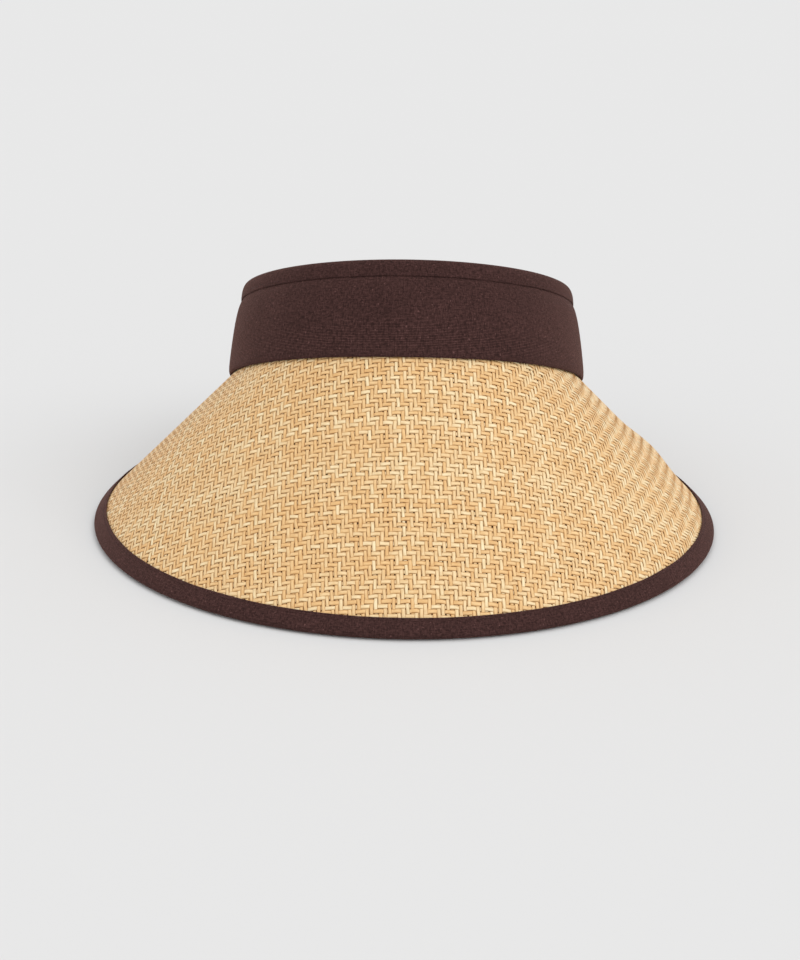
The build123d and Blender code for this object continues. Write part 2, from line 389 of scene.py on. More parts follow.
def band_tube(name, shape, section, material, ends, step=3.5 * MM, place=None, also=()):
    """A piece of the band with one section, and short runs of others as (section, ends)."""
    bm = bmesh.new()
    band_run(bm, shape, section, ends, step, place or shape.band)
    for other, other_ends in also:
        band_run(bm, shape, other, other_ends, step, place or shape.band, least=1)
    close_ends(bm)
    return subdivided(new_piece(name, bm, material), 1)


def cloth_mesh(columns, rows, place, thickness, shape=None):
    """A grid of cloth with its thickness. With a shape, it faces away from the head."""
    bm = bmesh.new()
    place_grid(bm, columns, rows, place)
    bmesh.ops.recalc_face_normals(bm, faces=bm.faces)
    bm.faces.ensure_lookup_table()
    face = bm.faces[len(bm.faces) // 2]
    if shape and face.normal.dot(face.calc_center_median() - shape.centre) < 0:
        bmesh.ops.reverse_faces(bm, faces=bm.faces)
    bmesh.ops.solidify(bm, geom=bm.faces[:], thickness=thickness)
    bmesh.ops.recalc_face_normals(bm, faces=bm.faces)
    return bm


def band_patch(name, shape, material, degrees, heights, off, thickness):
    """A curved piece of tape between two angles and two heights on the band."""
    low, high = (shape.arc_at(shape.param(d)) for d in degrees)
    columns, rows = 24, 10

    def spot(column, row):
        arc = low + (high - low) * column / columns
        height = heights[0] + (heights[1] - heights[0]) * row / rows
        return shape.band(off, height, shape.turn_at(arc)), (arc, height)

    bm = cloth_mesh(columns, rows, spot, thickness, shape)
    return new_piece(name, bm, material, smooth_faces=False)


SLUG_TURN = Matrix.Rotation(pi / 2, 4, "Y")


def stitch_row(name, places, material, size):
    """Stitches as small rounded slugs. places gives (middle, direction, outward) of each."""
    bm = bmesh.new()
    length, width, height = size
    for middle, direction, outward in places:
        side = outward.cross(direction).normalized()
        lift = direction.cross(side)
        turn = Matrix((direction * length / 2, side * width / 2, lift * height / 2)).transposed()
        bmesh.ops.create_uvsphere(bm, u_segments=6, v_segments=4, radius=1.0,
                                  matrix=Matrix.Translation(middle) @ turn.to_4x4() @ SLUG_TURN)
    bmesh.ops.recalc_face_normals(bm, faces=bm.faces)
    return new_piece(name, bm, material)


# ---------------------------------------------------------------- materials

def node_material(name, colour, roughness):
    """A material with its output shader, ready for detail."""
    material = bpy.data.materials.new(name)
    material.use_nodes = True
    tree = material.node_tree
    shader = tree.nodes["Principled BSDF"]
    shader.inputs["Base Color"].default_value = (*colour, 1)
    shader.inputs["Roughness"].default_value = roughness
    return material, tree, shader


def add_node(tree, kind, values=None, **settings):
    node = tree.nodes.new(kind)
    for key, value in settings.items():
        setattr(node, key, value)
    for key, value in (values or {}).items():
        node.inputs[key].default_value = value
    return node


def link(tree, *ends):
    """Joins output socket to input socket, in pairs."""
    for source, target in zip(ends[::2], ends[1::2]):
        tree.links.new(source, target)


def uv_scaled(tree, scale):
    """The piece's own UV map, in metres, scaled."""
    coordinates = add_node(tree, "ShaderNodeUVMap")
    mapping = add_node(tree, "ShaderNodeMapping", {"Scale": scale})
    link(tree, coordinates.outputs["UV"], mapping.inputs["Vector"])
    return mapping.outputs["Vector"]


def mixed(tree, kind, factor, a, b):
    """A colour mix. Factor, a and b are sockets or values."""
    node = add_node(tree, "ShaderNodeMix", data_type="RGBA", blend_type=kind)
    for socket, value in ((node.inputs[0], factor), (node.inputs[6], a), (node.inputs[7], b)):
        if hasattr(value, "links"):
            tree.links.new(value, socket)
        elif socket.type == "RGBA":
            socket.default_value = (*value, 1)
        else:
            socket.default_value = value
    return node.outputs[2]


def noise_value(tree, vector, scale=1.0, detail=3.0):
    """A noise texture's value at a vector."""
    node = add_node(tree, "ShaderNodeTexNoise", {"Scale": scale, "Detail": detail})
    link(tree, vector, node.inputs["Vector"])
    return node.outputs["Fac"]


def own_space(tree):
    """The piece's own coordinates, in metres."""
    return add_node(tree, "ShaderNodeTexCoord").outputs["Object"]


def ramp(tree, source, stops):
    node = add_node(tree, "ShaderNodeValToRGB")
    points = node.color_ramp.elements
    while len(points) < len(stops):
        points.new(0.5)
    for point, (position, value) in zip(points, stops):
        point.position = position
        point.color = (value, value, value, 1)
    tree.links.new(source, node.inputs["Fac"])
    return node.outputs["Color"]


def bump(tree, shader, height, strength, distance):
    node = add_node(tree, "ShaderNodeBump", {"Strength": strength, "Distance": distance})
    link(tree, height, node.inputs["Height"], node.outputs["Normal"], shader.inputs["Normal"])


def straw_material(colours):
    """Flat paper strands: painted shade along their edges, streaks along each strand, and a tone of
    its own.
    """
    material, tree, shader = node_material("straw", colours.straw, 0.55)
    tone = add_node(tree, "ShaderNodeAttribute", attribute_name="tone")
    across = add_node(tree, "ShaderNodeSeparateXYZ")
    place = uv_scaled(tree, (1, 1, 1))
    share = add_node(tree, "ShaderNodeMath", operation="FRACT")
    link(tree, place, across.inputs[0], across.outputs["Y"], share.inputs[0])
    # painted shade: each strand darkens towards both of its edges, where it rounds down beside its
    # neighbours
    edge = ramp(tree, share.outputs[0],
                ((0.0, 1.0), (0.16, 0.12), (0.5, 0.0), (0.84, 0.12), (1.0, 1.0)))
    streaks = noise_value(tree, uv_scaled(tree, (90, 7.5, 1)))
    patches = noise_value(tree, uv_scaled(tree, (260, 0.9, 1)), detail=2.0)
    streak = ramp(tree, streaks, ((0.3, 0.0), (0.7, 1.0)))
    patch = ramp(tree, patches, ((0.35, 0.0), (0.65, 1.0)))
    base = mixed(tree, "MIX", tone.outputs["Fac"], colours.straw, colours.straw_pale)
    dark = mixed(tree, "MULTIPLY", 0.6, base, (0.82, 0.68, 0.50))
    worn = mixed(tree, "MIX", patch, dark, base)
    streaked = mixed(tree, "MULTIPLY", 0.16, worn, streak)
    # the painted shade colour for the strand edges
    shaded = mixed(tree, "MULTIPLY", 1.0, streaked, (0.50, 0.31, 0.13))
    final = mixed(tree, "MIX", edge, streaked, shaded)
    link(tree, final, shader.inputs["Base Color"])
    shader.inputs["Specular IOR Level"].default_value = 0.35
    shader.inputs["Sheen Weight"].default_value = 0.06
    bump(tree, shader, streak, 0.35, 0.00006)
    return material


def cotton_material(name, colour, thread=0.00047, depth=0.6):
    """Plain weave cloth. Threads follow the UV map, with painted shade between them, painted
    highlight on their crowns, slubs and pale flecks.
    """
    material, tree, shader = node_material(name, colour, 0.88)
    place = uv_scaled(tree, (1, 1, 1))
    waves = []
    for direction in ("X", "Y"):
        wave = add_node(tree, "ShaderNodeTexWave",
                        {"Scale": 0.314 / thread, "Distortion": 1.6, "Detail": 2.0,
                         "Detail Scale": 1.2},
                        bands_direction=direction)
        link(tree, place, wave.inputs["Vector"])
        waves.append(wave.outputs["Fac"])
    cross = mixed(tree, "MULTIPLY", 1.0, waves[0], waves[1])
    slubs = [noise_value(tree, uv_scaled(tree, scale))
             for scale in ((520, 1500, 1), (1500, 520, 1))]
    slub = ramp(tree, mixed(tree, "MIX", 0.5, *slubs), ((0.40, 0.0), (0.60, 1.0)))
    wear = ramp(tree, noise_value(tree, place, 70.0, 4.0), ((0.3, 0.90), (0.7, 1.08)))
    fleck = ramp(tree, noise_value(tree, place, 950.0, 0.0), ((0.74, 0.0), (0.84, 0.4)))
    pale = tuple(min(c * 3.0 + 0.01, 1) for c in colour)
    deep = tuple(c * 0.22 for c in colour)
    # the painted highlight colour for the thread crowns
    high = tuple(min(c * 2.6, 1) for c in colour)
    # painted shade in the gaps between threads and painted highlight on the thread crowns, on top
    # of the bump
    woven = mixed(tree, "MIX", cross, tuple(c * 0.45 for c in colour), high)
    slubbed = mixed(tree, "MIX", slub, mixed(tree, "MIX", 0.72, woven, deep), woven)
    flecked = mixed(tree, "MIX", fleck, slubbed, pale)
    final = mixed(tree, "MULTIPLY", 1.0, flecked, wear)
    link(tree, final, shader.inputs["Base Color"])
    shader.inputs["Specular IOR Level"].default_value = 0.06
    shader.inputs["Sheen Weight"].default_value = 0.20
    shader.inputs["Sheen Roughness"].default_value = 0.4
    shader.inputs["Sheen Tint"].default_value = (0.8, 0.42, 0.34, 1)
    bump(tree, shader, mixed(tree, "ADD", 0.5, cross, slub), depth, 0.00014)
    return material


def thread_material(colours):
    """Twisted sewing thread."""
    material, tree, shader = node_material("sewing_thread", colours.thread, 0.6)
    twist = noise_value(tree, own_space(tree), 2600.0, 1.0)
    colour = mixed(tree, "MIX", twist, tuple(c * 0.7 for c in colours.thread),
                   tuple(c * 1.5 for c in colours.thread))
    link(tree, colour, shader.inputs["Base Color"])
    shader.inputs["Specular IOR Level"].default_value = 0.1
    bump(tree, shader, twist, 0.4, 0.00008)
    return material


def napped_material(name, colour, scale, depth):
    """Foam, loops, felt or moulded surfaces: a fine irregular grain in the piece's own space."""
    material, tree, shader = node_material(name, colour, 0.9)
    grain = noise_value(tree, own_space(tree), scale, 4.0)
    tint = mixed(tree, "MIX", grain, tuple(c * 0.75 for c in colour),
                 tuple(min(c * 1.25, 1) for c in colour))
    link(tree, tint, shader.inputs["Base Color"])
    shader.inputs["Specular IOR Level"].default_value = 0.08
    bump(tree, shader, grain, depth, 0.0002)
    return material


def wire_material():
    """Drawn steel wire with faint lines."""
    material, tree, shader = node_material("wire", (0.55, 0.55, 0.56), 0.3)
    shader.inputs["Metallic"].default_value = 1.0
    lines = noise_value(tree, own_space(tree), 900.0)
    tint = mixed(tree, "MIX", lines, (0.42, 0.42, 0.43), (0.66, 0.66, 0.67))
    link(tree, tint, shader.inputs["Base Color"])
    bump(tree, shader, lines, 0.15, 0.00003)
    return material


def kept(name, make, *values):
    """The material of that name, made the first time that it is asked for."""
    return bpy.data.materials.get(name) or make(*values)


# ---------------------------------------------------------------- operators

class VisorOperator:
    """What the visor's operators share."""
    bl_options = {"REGISTER", "UNDO"}

    def execute(self, context):
        self.sizes = context.scene.visor_sizes
        self.colours = context.scene.visor_colours
        self.shape = VisorShape(self.sizes)
        self.build(context)
        return {"FINISHED"}

    def cotton(self):
        return kept("brown_cotton_weave", cotton_material, "brown_cotton_weave",
                    self.colours.cotton)

    def thread(self):
        return kept("sewing_thread", thread_material, self.colours)

    def settle(self, piece, slot, *nodes, body=BODY):
        """Rides the piece on its body and hides the nodes that it stands for. Its slot is not used.
        """
        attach(piece, body)
        if nodes:
            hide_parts(*nodes)
        return piece


class VISOR_OT_straw(VisorOperator, bpy.types.Operator):
    """Weave the brim's paper straw, two over and two under, and roll it into the cone"""
    bl_idname = "visor.straw"
    bl_label = "Woven straw"

    twist = radians(3.2)           # the upright strands lean this far across the front
    skew = radians(0.6)            # and the level ones this far
    wave = 0.16 * MM               # half the rise of a strand over its neighbours
    middle = 0.17 * MM             # the weave's middle above the board's
    half_thickness = 0.11 * MM
    # one strand's section, as shares of its width and half its thickness
    section = ((-0.5, -0.7), (-0.4, 1.0), (0.4, 1.0), (0.5, -0.7))
    # where a strand has its points, in crossings, and its rise there: over two and under two
    shares = (0.0, 0.06, 0.94, 0.999, 1.999)
    steps = ((0.5, 1.0), (1.5, 1.0), (2.0, 0.0), (2.5, -1.0), (3.5, -1.0), (4.0, 0.0))

    def build(self, context):
        material = straw_material(self.colours)
        self.seed = random.Random(7)
        self.root_step = radians(1.0)
        self.roots = [self.shape.brim_root(self.root_step * k, -3.0 * MM) for k in range(182)]
        flat = (2 * self.shape.flat_edge, self.shape.flat_edge * (1 - cos(self.shape.flat_end)))
        for upright in (True, False):
            name = "straw_upright_strands" if upright else "straw_level_strands"
            piece = self.settle(self.weave(name, material, upright), "straw", "brim_straw")

    def flat(self, across, along, upright):
        """Strand coordinates, square to the weave, to a point of the flat brim."""
        x, y = (across, along) if upright else (along, across)
        det = cos(self.twist - self.skew)
        p = (cos(self.skew) * x - sin(self.twist) * y) / det
        q = (sin(self.skew) * x + cos(self.twist) * y) / det
        return p, q

    def covered(self, p, q):
        shape = self.shape
        if shape.edge_distance(p, q) < 5.0 * MM:
            return False
        flat_r, turn = hypot(p, q), abs(atan2(p, -q) / shape.cos)
        k = int(turn / self.root_step)
        share = turn / self.root_step - k
        root = self.roots[k] * (1 - share) + self.roots[k + 1] * share
        return shape.wire_r / shape.cos - flat_r < root

    def weave(self, name, material, upright):
        seed = self.seed
        pitches = (self.sizes.upright_pitch, self.sizes.level_pitch)
        pitch, run = pitches if upright else pitches[::-1]
        reach = int(self.shape.flat_edge / min(pitches)) + 4
        self.woven = 0
        bm = bmesh.new()
        for strand in range(-reach, reach + 1):
            own = {
                "tone": seed.random() ** 1.4,
                "width": pitch * (0.915 + 0.07 * seed.uniform(-1, 1)),
                "drift": seed.uniform(-1, 1) * 0.08 * pitch,
                "phase": seed.uniform(0, 100),
            }
            shift = strand if upright else strand - 2
            stretch = []
            for cycle in range(-reach // 4 - 1, reach // 4 + 2):
                for crossing, rise in self.steps:
                    spot = 4 * cycle + crossing - 0.5
                    spot = spot + shift % 4 - 1 if upright else spot + shift % 4
                    across, along = strand * pitch, spot * run
                    p, q = self.flat(across, along, upright)
                    if self.covered(p, q):
                        stretch.append((spot, rise))
                        continue
                    if len(stretch) > 3:
                        self.strand(bm, upright, strand, stretch, pitch, run, own)
                    stretch = []
        close_ends(bm, 1e-6)
        return new_piece(name, bm, material)

    def strand(self, bm, upright, strand, stretch, pitch, run, own):
        """One strand: a flat ribbon that rises over two neighbours and dips under two."""
        self.woven += abs(stretch[-1][0] - stretch[0][0])

        def spot(column, row):
            place, rise = stretch[column]
            across, along = strand * pitch, place * run
            p, q = self.flat(across, along, upright)
            loose = noise.noise(Vector((p * 55, q * 55, 7.0 if upright else 3.0)))
            wander = noise.noise(Vector((place * 0.46, own["phase"], strand * 0.7)))
            swell = 1 + 0.16 * noise.noise(Vector((place * 0.7, own["phase"] + 40, 0)))
            swell -= 0.10 * loose
            u, v = self.section[row % 4]
            across += own["drift"] + wander * 0.22 * pitch + u * own["width"] * swell
            p, q = self.flat(across, along, upright)
            off = self.middle + self.wave * rise + v * self.half_thickness
            uv = (along + own["phase"], self.shares[row] + 4 * strand)
            return self.shape.rolled(p, q, off), uv

        place_grid(bm, len(stretch) - 1, 4, spot, own["tone"])


class VISOR_OT_lining(VisorOperator, bpy.types.Operator):
    """Back the straw with a dark cloth"""
    bl_idname = "visor.lining"
    bl_label = "Brim lining"

    def build(self, context):
        shape = self.shape
        material = cotton_material("lining", self.colours.lining, 0.0005, 0.3)
        columns, rows = 200, 12
        end = pi - self.sizes.back_opening
        under = shape.half_board - 0.05 * MM

        def spot(column, row):
            turn = end * (2 * column / columns - 1) * 0.985
            root = shape.brim_root(turn, -3.2 * MM)
            back = max(0.0, shape.wire_r * (end - abs(turn)))
            corner = self.sizes.corner
            trim = corner - (max(corner ** 2 - max(corner - back, 0) ** 2, 0)) ** 0.5
            low = 1.0 * MM + trim
            along = low + (root - low) * row / rows
            point = shape.brim(along, -under, turn)
            return point, (turn * shape.wire_r, along)

        bm = cloth_mesh(columns, rows, spot, 0.3 * MM)
        piece = self.settle(new_piece("brim_lining_cloth", bm, material), "lining", "brim_lining")


class VISOR_OT_edge_binding(VisorOperator, bpy.types.Operator):
    """Fold the brown tape round the brim's edge and both of its ends"""
    bl_idname = "visor.edge_binding"
    bl_label = "Edge binding"

    # (inset from the edge, off the middle surface), in millimetres, down the outside
    outside = ((9.0, 0.80), (8.95, 1.22), (8.4, 1.40), (7.5, 1.27), (6.6, 1.42), (4.2, 1.48),
               (1.8, 1.48), (0.6, 1.22), (0.05, 0.55), (0.0, -0.40), (0.14, -1.20), (0.55, -1.56),
               (1.8, -1.56), (4.2, -1.48), (6.6, -1.42), (7.5, -1.27), (8.4, -1.38),
               (8.95, -1.22), (9.0, -0.80))
    inside = ((8.2, -0.76), (4.2, -0.78), (1.3, -0.78), (0.8, -0.45), (0.8, 0.45), (1.3, 0.76),
              (4.2, 0.76), (8.2, 0.76))

    def build(self, context):
        shape = self.shape
        section = self.outside + self.inside
        total = shape.outline_length()
        columns = int(total / (2.6 * MM))
        walk = section_walk(section)

        def spot(column, row):
            distance = total * column / columns
            inset, off = section[row % len(section)]
            pucker = noise.noise(Vector((distance * 190, inset * 0.25, off)))
            slow = noise.noise(Vector((distance * 45, 3.0, 0)))
            near_seam = smooth(3.0, 7.0, inset)
            if abs(off) > 0.9:
                off += (0.10 * pucker * near_seam + 0.05 * slow) * (1 if off > 0 else 0.3)
            if inset > 8:
                inset += 0.25 * slow
            return shape.edge(distance, inset * MM, off * MM), (distance, walk[row] * MM)

        bm = bmesh.new()
        place_grid(bm, columns, len(section), spot)
        close_ends(bm)
        piece = subdivided(new_piece("edge_binding_tape", bm, self.cotton()), 1)
        self.settle(piece, "brown_cotton", "brim_edge_binding")


class VISOR_OT_band(VisorOperator, bpy.types.Operator):
    """Make the padded band: cover, foam, sweatband and the tape along its foot"""
    bl_idname = "visor.band"
    bl_label = "Headband"

    gap = 6.0                      # degrees from straight back to each end of the band
    # the cover's outer path, from under the top binding down to the lip, in millimetres
    cover_path = ((-1.9, 40.6), (-1.5, 38.0), (-1.45, 35.0), (-1.4, 33.9), (-0.75, 33.0),
                  (-0.15, 31.4), (0.45, 28.0), (0.85, 23.0), (1.05, 16.0), (1.1, 10.0),
                  (0.95, 5.0), (0.45, 2.2), (-0.35, 0.75), (-1.3, 0.35), (-2.4, 0.5))

    # the cover turned in over each end of the band
    turned = ((-2.0, 40.6), (-1.7, 34.0), (0.1, 28.0), (0.75, 16.0), (0.65, 5.0), (0.0, 2.2),
              (-0.7, 1.1), (-1.7, 0.55), (-4.2, 0.45), (-4.2, 20.0), (-4.1, 40.6))
    plain_foot = -4.9 * MM         # where the foot hangs between the brim's two ends

    def ends(self, extra=0.0):
        turn = self.shape.param(self.gap + extra)
        return turn, 2 * pi - turn

    def bulge(self, height):
        """How far the padded wall stands out at a height, both in millimetres."""
        for (x0, y0), (x1, y1) in zip(self.cover_path, self.cover_path[1:]):
            if y1 <= height <= y0:
                return max(x0 + (x1 - x0) * (y0 - height) / (y0 - y1), 0.0)
        return 0.0

    def padded_place(self, off, height, t):
        """A point of the padded wall: flat behind the closure, resting on the brim at its foot."""
        shape = self.shape
        back = abs((t + pi) % tau - pi)
        fullness = smooth(radians(30), radians(50), back)
        if fullness < 1:
            depth = smooth(-3.0 * MM, -1.0 * MM, off)
            off -= self.bulge(height / MM) * MM * (1 - fullness) * depth
        follow = 1 - smooth(3 * MM, 15 * MM, height)
        if follow > 0:
            lip = shape.lip(off, t, shape.half_board + 0.05 * MM)
            on_brim = smooth(radians(25), radians(30.5), back)
            height += follow * (lip * on_brim + self.plain_foot * (1 - on_brim))
        arc = shape.arc_at((t + pi) % tau - pi)
        soft = noise.noise(Vector((arc * 22, height * 30, 5))) * 0.18 * MM
        ripple = noise.noise(Vector((arc * 75, height * 12, 9))) * 0.06 * MM
        if 1 * MM < height < 31 * MM and off > -0.8 * MM:
            off += (soft + ripple) * fullness
        return shape.band(off, height, t)

    def build(self, context):
        shape = self.shape
        first, last = self.ends()
        inner, outer = self.ends(0.35)
        cover = band_tube("band_cover_cloth", shape, thickened(self.cover_path, -0.55),
                          self.cotton(), (first, last), place=self.padded_place,
                          also=((self.turned, (first, inner)), (self.turned, (outer, last))))
        self.settle(cover, "brown_cotton", "band_cover")

        foam_path = ((-3.2, 33.0), (-1.9, 33.2), (-1.2, 31.0), (-0.4, 27.0), (0.2, 20.0),
                     (0.25, 10.0), (-0.1, 5.0), (-0.9, 2.4), (-2.2, 1.7), (-3.2, 1.9),
                     (-3.2, 12.0), (-3.2, 22.0))
        foam = band_tube("band_foam_pad", shape, foam_path,
                         napped_material("foam_cells", (0.78, 0.74, 0.66), 1800, 0.6),
                         self.ends(0.9), place=self.padded_place)
        self.settle(foam, "foam", "band_foam")

        lining = cotton_material("sweatband", tuple(c * 1.15 for c in self.colours.cotton),
                                 0.0006, 0.7)
        sweat = ((-3.96, 41.0), (-3.96, 20.0), (-3.96, -4.4), (-4.3, -4.8), (-4.8, -4.7),
                 (-5.05, -4.0), (-5.2, 6.0), (-5.3, 18.0), (-5.2, 30.0), (-5.0, 41.0))
        sweatband = band_tube("sweatband_cloth", shape, sweat, lining, self.ends())
        self.settle(sweatband, "sweatband", "sweatband")

        tape = ((-5.25, 2.6), (-5.3, -4.2), (-4.7, -4.95), (-3.4, -4.98))
        seam_tape = band_tube("brim_seam_tape_cloth", shape, thickened(tape, 0.35),
                              self.cotton(), self.ends())
        self.settle(seam_tape, "brown_cotton", "brim_seam_tape")


class VISOR_OT_top_binding(VisorOperator, bpy.types.Operator):
    """Bind the top of the band with the same tape"""
    bl_idname = "visor.top_binding"
    bl_label = "Top binding"

    path = ((-0.45, 33.9), (-0.05, 34.2), (-0.12, 35.5), (0.05, 37.2), (-0.15, 39.6),
            (-0.75, 41.3), (-1.7, 41.85), (-2.9, 41.95), (-4.1, 41.85), (-5.1, 41.3),
            (-5.62, 39.6), (-5.75, 37.2), (-5.68, 35.6), (-5.8, 34.3), (-5.62, 33.9))

    def build(self, context):
        shape = self.shape
        turn = shape.param(VISOR_OT_band.gap)

        def puckered(off, height, t):
            arc = shape.arc_at((t + pi) % tau - pi)
            pucker = noise.noise(Vector((arc * 170, height * 60, 2))) * 0.09 * MM
            slow = noise.noise(Vector((arc * 30, 1, 2)))
            low = 1 - smooth(34.5 * MM, 37 * MM, height)
            if off > -0.6 * MM:
                off += pucker
            height += 0.22 * MM * slow * low
            return shape.band(off, height, t)

        piece = band_tube("top_binding_tape", shape, thickened(self.path, -0.5), self.cotton(),
                          (turn, 2 * pi - turn), step=2.6 * MM, place=puckered)
        self.settle(piece, "brown_cotton", "top_binding")


class VISOR_OT_stitching(VisorOperator, bpy.types.Operator):
    """Sew the rows of stitches along both bindings and the seam tape"""
    bl_idname = "visor.stitching"
    bl_label = "Stitching"

    size = (2.5 * MM, 0.42 * MM, 0.36 * MM)

    def along_edge(self, off, seed):
        shape, pitch = self.shape, self.sizes.stitch_pitch
        total = shape.outline_length()
        count = int((total - 4 * MM) / pitch)
        for k in range(count):
            distance = 2 * MM + (k + 0.5) * pitch
            inset = 7.5 * MM + seed.uniform(-1, 1) * 0.08 * MM
            a = shape.edge(distance - 1 * MM, inset, off)
            b = shape.edge(distance + 1 * MM, inset, off)
            middle = (a + b) / 2
            outward = shape.edge(distance, inset, off * 3) - shape.edge(distance, inset, off)
            yield middle, (b - a).normalized(), outward.normalized()

    def round_band(self, off, height, outward_sign, seed):
        shape, pitch = self.shape, self.sizes.stitch_pitch
        start = shape.arc_at(shape.param(VISOR_OT_band.gap)) + 2 * MM
        count = int((shape.oval_length - 2 * start) / pitch)
        for k in range(count):
            arc = start + (k + 0.5) * pitch
            level = height + seed.uniform(-1, 1) * 0.07 * MM
            wrapped = (arc + shape.oval_length / 2) % shape.oval_length - shape.oval_length / 2
            t = shape.turn_at(wrapped)
            a, b = (shape.band(off, level, t + turn) for turn in (-0.008, 0.008))
            outward = shape.band(off + outward_sign * MM, level, t) - shape.band(off, level, t)
            yield (a + b) / 2, (b - a).normalized(), outward.normalized()

    def build(self, context):
        seed = random.Random(11)
        top = 35.6 * MM
        rows = (
            ("edge_stitches", "brim_edge_stitching",
             (self.along_edge(1.32 * MM, seed), self.along_edge(-1.34 * MM, seed))),
            ("top_binding_stitches", "top_binding_stitching",
             (self.round_band(-0.16 * MM, top, 1, seed),
              self.round_band(-5.72 * MM, top, -1, seed))),
            ("brim_seam_stitches", "brim_seam_stitching",
             (self.round_band(-5.62 * MM, 0.6 * MM, -1, seed),)),
        )
        for name, node, parts in rows:
            piece = stitch_row(name, [place for part in parts for place in part],
                               self.thread(), self.size)
            self.settle(piece, "thread", node)


class VISOR_OT_closure(VisorOperator, bpy.types.Operator):
    """Make the tab, its hook and loop tapes, and what sews them on"""
    bl_idname = "visor.closure"
    bl_label = "Back closure"

    root, hinge, tip = -15.0, -6.1, 27.0     # degrees from straight back
    tab_low, tab_high = 9.0 * MM, 33.0 * MM
    tape_low, tape_high = 12.0 * MM, 30.0 * MM
    tip_corner = 6.0 * MM
    cloth = 1.1 * MM               # the tab's thickness

    def tab_off(self, degrees):
        """The tab's inner face lies on the band at its root, then steps over the tapes."""
        return 0.1 * MM + 2.2 * MM * smooth(-9.5, 1.0, degrees)

    def tab_piece(self):
        shape = self.shape
        low, high = (shape.arc_at(shape.param(d)) for d in (self.root, self.tip))
        columns, rows = 60, 12
        middle = (self.tab_low + self.tab_high) / 2
        half = (self.tab_high - self.tab_low) / 2

        def spot(column, row):
            share = column / columns
            arc = low + (high - low) * (1 - (1 - share) ** 1.4)
            left = high - arc
            reach = half
            if left < self.tip_corner:
                rest = self.tip_corner - left
                reach = half - self.tip_corner + (self.tip_corner ** 2 - rest ** 2) ** 0.5
            reach = max(reach, half - self.tip_corner)
            height = middle + reach * (2 * row / rows - 1)
            t = shape.turn_at(arc)
            degrees = (arc / high) * self.tip
            edge = smooth(0.72, 1.0, abs(2 * row / rows - 1))
            soft = noise.noise(Vector((arc * 60, height * 60, 4))) * 0.12 * MM
            off = self.tab_off(degrees) + soft - edge * 0.08 * MM
            return shape.band(off + 0.05 * MM + self.cloth, height, t), (arc, height)

        bm = cloth_mesh(columns, rows, spot, self.cloth, shape)
        rim = [edge for edge in bm.edges
               if len(edge.link_faces) == 2 and edge.calc_face_angle(0) > radians(50)]
        bmesh.ops.bevel(bm, geom=rim, offset=0.35 * MM, offset_type="OFFSET", segments=2,
                        profile=0.5, affect="EDGES", material=-1, clamp_overlap=True)
        return new_piece("closure_tab_cloth", bm, self.cotton())

    def sewn_outline(self, degrees, off):
        """Stitches round a rectangle on the band."""
        shape, step, heights = self.shape, 2.4 * MM, (13.2 * MM, 28.8 * MM)
        low, high = (shape.arc_at(shape.param(d)) for d in degrees)
        corners = ((low, heights[0]), (high, heights[0]), (high, heights[1]), (low, heights[1]))
        for k in range(4):
            (a0, h0), (a1, h1) = corners[k], corners[(k + 1) % 4]
            length = hypot(a1 - a0, h1 - h0)
            count = max(int(round(length / step)), 1)
            for j in range(count):
                ends = []
                for part in (0.14, 0.86):
                    share = (j + part) / count
                    arc, height = a0 + (a1 - a0) * share, h0 + (h1 - h0) * share
                    ends.append((arc, height))
                t = shape.turn_at((ends[0][0] + ends[1][0]) / 2)
                height = (ends[0][1] + ends[1][1]) / 2
                a, b = (shape.band(off, h, shape.turn_at(arc)) for arc, h in ends)
                outward = shape.band(off + MM, height, t) - shape.band(off, height, t)
                yield (a + b) / 2, (b - a).normalized(), outward.normalized()

    def build(self, context):
        shape, thread = self.shape, self.thread()
        size = (2.0 * MM, 0.38 * MM, 0.3 * MM)         # one stitch
        tab = self.tab_piece()
        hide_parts("closure_tab", "closure_tab_root")
        height = (self.tab_low + self.tab_high) / 2
        start, end = (shape.band(2 * MM, height, shape.param(self.hinge + d)) for d in (-1.6, 3.4))
        tuple(start)
        tuple(end)
        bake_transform(tab)

        loops = napped_material("loop_nap", (0.024, 0.012, 0.011), 2400, 1.0)
        heights = (self.tape_low, self.tape_high)
        loop = band_patch("loop_tape_nap", shape, loops, (9.0, 31.0), heights, 1.0 * MM, 0.9 * MM)
        self.settle(loop, "loop_tape", "loop_tape")
        hooks = napped_material("hook_strip", (0.022, 0.013, 0.012), 900, 0.3)
        base = band_patch("hook_tape_base", shape, hooks, (10.0, 25.5), heights,
                          2.25 * MM, 0.35 * MM)
        self.settle(base, "hook_tape", "hook_tape", body=TAB)
        self.settle(self.hook_field(hooks), "hook_tape", body=TAB)

        for name, node, body, degrees, off in (
                ("hook_tape_stitches", "hook_tape_stitching", TAB, (10.7, 24.8), 3.42),
                ("loop_tape_stitches", "loop_tape_stitching", BODY, (9.7, 30.3), 0.97),
                ("tab_root_stitches", "tab_root_stitching", BODY, (self.root + 0.8, -9.8), 1.22)):
            places = self.sewn_outline(degrees, off * MM)
            self.settle(stitch_row(name, places, thread, size), "thread", node, body=body)
        self.bar_tacks(thread)

